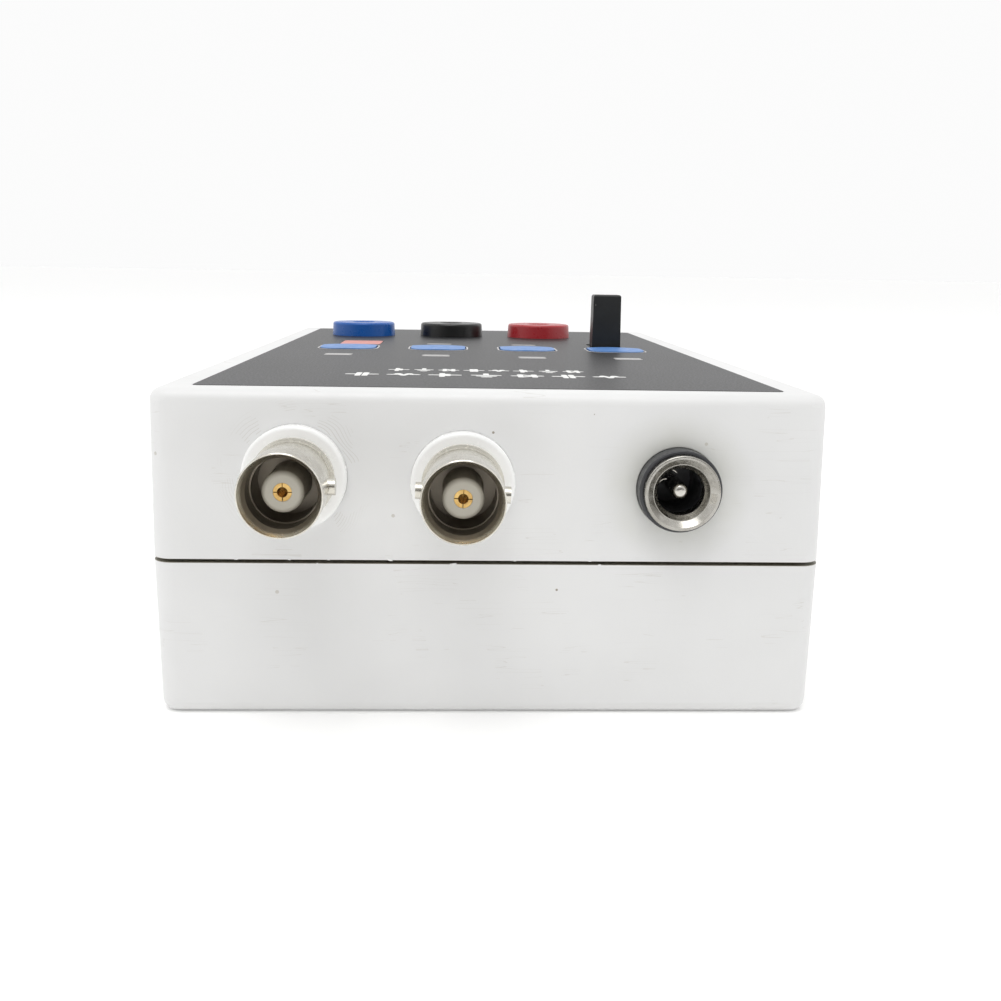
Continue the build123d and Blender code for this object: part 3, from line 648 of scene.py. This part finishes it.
def bar(x, y, length):
    return stroke((x - length / 2, y), (x + length / 2, y), printing["captionWidth"])


def printSigns(settings):
    pieces = []
    names = list(signs)
    for number, row in enumerate(settings["signRows"]):
        halfX = row["pitch"] * settings["signShare"][0]
        halfY = row["height"] * settings["signShare"][1]
        for i in range(row["count"]):
            x = row["start"] - i * row["pitch"]
            strokes = signs[names[(i + 2 * number) % len(names)]]
            for layer, points in enumerate(strokes):
                start, end = ((x + across * halfX, row["y"] + along * halfY) for across, along in points)
                pieces.append(stroke(start, end, row["line"], layer))
    finishPiece(joinPieces(pieces), "printed_signs", inks["white"])


def printCaptions(settings):
    pieces = []
    for number, (across, along) in enumerate(settings["captionPlaces"], start=1):
        centre = nodeCentre(f"key_{number}")
        for side in (-0.5, 0.5):
            y = centre.y + along * mm + side * settings["captionPitch"]
            pieces.append(bar(centre.x + across * mm, y, settings["captionLength"]))
        if number in settings["dashKeys"]:
            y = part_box(f"key_{number}")[1].y + settings["dashPlace"]
            pieces.append(bar(centre.x, y, settings["dashLength"]))
    finishPiece(joinPieces(pieces), "printed_captions", inks["grey"])


# A line printed round each key's opening
keyLines = {
    "count": 4,
    "lip": 0.9 * mm,  # the flange under the panel, which makes a key's box wider than its face
    "gap": 0.25 * mm,  # round the face
    "corner": 3.2 * mm,  # of the face
    "width": 0.26 * mm,
}


def printKeyLines(settings):
    pieces = []
    outside = settings["gap"] + settings["width"]
    for number in range(1, settings["count"] + 1):
        low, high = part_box(f"key_{number}")
        centre = (low + high) / 2
        bpy.ops.mesh.primitive_plane_add(size=1, location=(centre.x, centre.y, panelZ))
        line = bpy.context.object
        grow = 2 * (outside - settings["lip"])
        line.scale = (high.x - low.x + grow, high.y - low.y + grow, 1)
        bpy.ops.object.transform_apply(location=True, rotation=True, scale=True)
        openEdit(line, "VERT", lambda vertex: True)
        bpy.ops.mesh.bevel(offset=settings["corner"] + outside, segments=10, affect="VERTICES")
        bpy.ops.mesh.select_mode(type="FACE")
        bpy.ops.mesh.select_all(action="SELECT")
        bpy.ops.mesh.inset(thickness=settings["width"], depth=0)
        bpy.ops.mesh.delete(type="FACE")
        bpy.ops.mesh.select_all(action="SELECT")
        bpy.ops.mesh.extrude_region_move(TRANSFORM_OT_translate={"value": (0, 0, printing["thickness"])})
        bpy.ops.mesh.select_all(action="SELECT")
        bpy.ops.mesh.normals_make_consistent(inside=False)
        bpy.ops.object.mode_set(mode="OBJECT")
        pieces.append(line)
    finishPiece(joinPieces(pieces), "printed_key_lines", inks["grey"])


inkFinish = {
    "roughness": 0.55,
    "wearScale": 1800,
    "worn": 0.82,  # how much of its tone a worn place keeps
    "depth": 0.01 * mm,
}


def inkMaterial(name, colour):
    look = inkFinish
    material, tree, shader, place = newTree(name, look["roughness"])
    wear = noise(tree, place, look["wearScale"], 4.0, 0.7)
    worn = tuple(c * look["worn"] for c in colour) + (1,)
    tree.links.new(ramp(tree, wear, (0.35, worn), (0.55, colour + (1,))), shader.inputs["Base Color"])
    bump(tree, shader, wear, look["depth"], 0.5)
    return material


inks = {
    "white": inkMaterial("inkWhite", (0.92, 0.92, 0.90)),
    "grey": inkMaterial("inkGrey", (0.62, 0.61, 0.60)),
}
printSigns(printing)
printCaptions(printing)
printKeyLines(keyLines)
print("stage: panel printed")

# Small curls of plastic left along the seam, most of them under the left output
burrs = {
    "places": (-31.0, -24.6, -21.2, -19.8, -12.3, -4.6, 3.1, 12.4, 13.6),  # across the front, in mm
    "size": 0.19 * mm,
    "sizes": (0.6, 1.4),  # shares of the size, as are the four below
    "lengths": (1.0, 2.2),
    "depth": 0.6,
    "heights": (0.35, 0.6),
    "ragged": 0.22,
    "lean": 0.2,  # either way, in radians
    "sink": 0.06 * mm,  # into the wall
    "edge": 0.52,  # of the gap, from its middle
    "seed": 7,
}


def makeBurrs(settings):
    chance = random.Random(settings["seed"])
    pieces = []
    for i, x in enumerate(settings["places"]):
        side = -1 if i % 3 == 2 else 1  # every third one is on the lower shell
        size = settings["size"] * chance.uniform(*settings["sizes"])
        bpy.ops.mesh.primitive_ico_sphere_add(
            subdivisions=3,
            radius=size,
            location=(x * mm, frontY + settings["sink"], seamZ + side * seamGap * settings["edge"]),
            rotation=(0, chance.uniform(-settings["lean"], settings["lean"]), 0),
            scale=(
                chance.uniform(*settings["lengths"]),
                settings["depth"],
                chance.uniform(*settings["heights"]),
            ),
        )
        flake = bpy.context.object
        bpy.ops.object.transform_apply(location=False, rotation=True, scale=True)
        openEdit(flake, "VERT", lambda vertex: True)
        bpy.ops.transform.vertex_random(offset=size * settings["ragged"], seed=settings["seed"] + i)
        bpy.ops.object.mode_set(mode="OBJECT")
        bpy.ops.object.shade_smooth()
        pieces.append(flake)
    finishPiece(joinPieces(pieces), "seam_burrs", materials["collar_white"])


makeBurrs(burrs)
print("stage: burrs made")

# Two bent contact leaves inside the power inlet, each an arc cut from a ring
leaves = {
    "reach": 1.1 * mm,
    "wire": 0.09 * mm,
    "places": ((-1.3, 1.5), (-1.7, 0.35)),  # the rings' middles, across and up from the pin, in mm
    "turns": (200, 250),  # the first cut's side, in degrees
    "apart": 110,  # degrees from the first cut to the second
    "depth": 2.2 * mm,  # behind the sleeve's rim
    "smooth": 40,  # degrees, below which an edge is shaded smooth
}


def makeLeaves(settings):
    pin = nodeCentre("jack_pin")
    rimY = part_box("jack_sleeve")[0].y
    pieces = []
    for (across, up), turn in zip(settings["places"], settings["turns"]):
        place = Vector((pin.x + across * mm, rimY + settings["depth"], pin.z + up * mm))
        bpy.ops.mesh.primitive_torus_add(
            major_radius=settings["reach"],
            minor_radius=settings["wire"],
            major_segments=48,
            minor_segments=12,
            location=place,
            rotation=(math.pi / 2, 0, 0),
        )
        leaf = bpy.context.object
        bpy.ops.object.transform_apply(location=True, rotation=True, scale=True)
        for angle in (math.radians(turn), math.radians(turn + settings["apart"])):
            openEdit(leaf, "VERT", lambda vertex: True)
            facing = Vector((math.cos(angle), 0, math.sin(angle)))
            bpy.ops.mesh.bisect(plane_co=place, plane_no=facing, use_fill=True, clear_outer=True)
            bpy.ops.object.mode_set(mode="OBJECT")
        bpy.ops.object.shade_smooth_by_angle(angle=math.radians(settings["smooth"]))
        pieces.append(leaf)
    finishPiece(joinPieces(pieces), "inlet_contact_leaves", materials["nickel"])


makeLeaves(leaves)
print("stage: inlet leaves made")
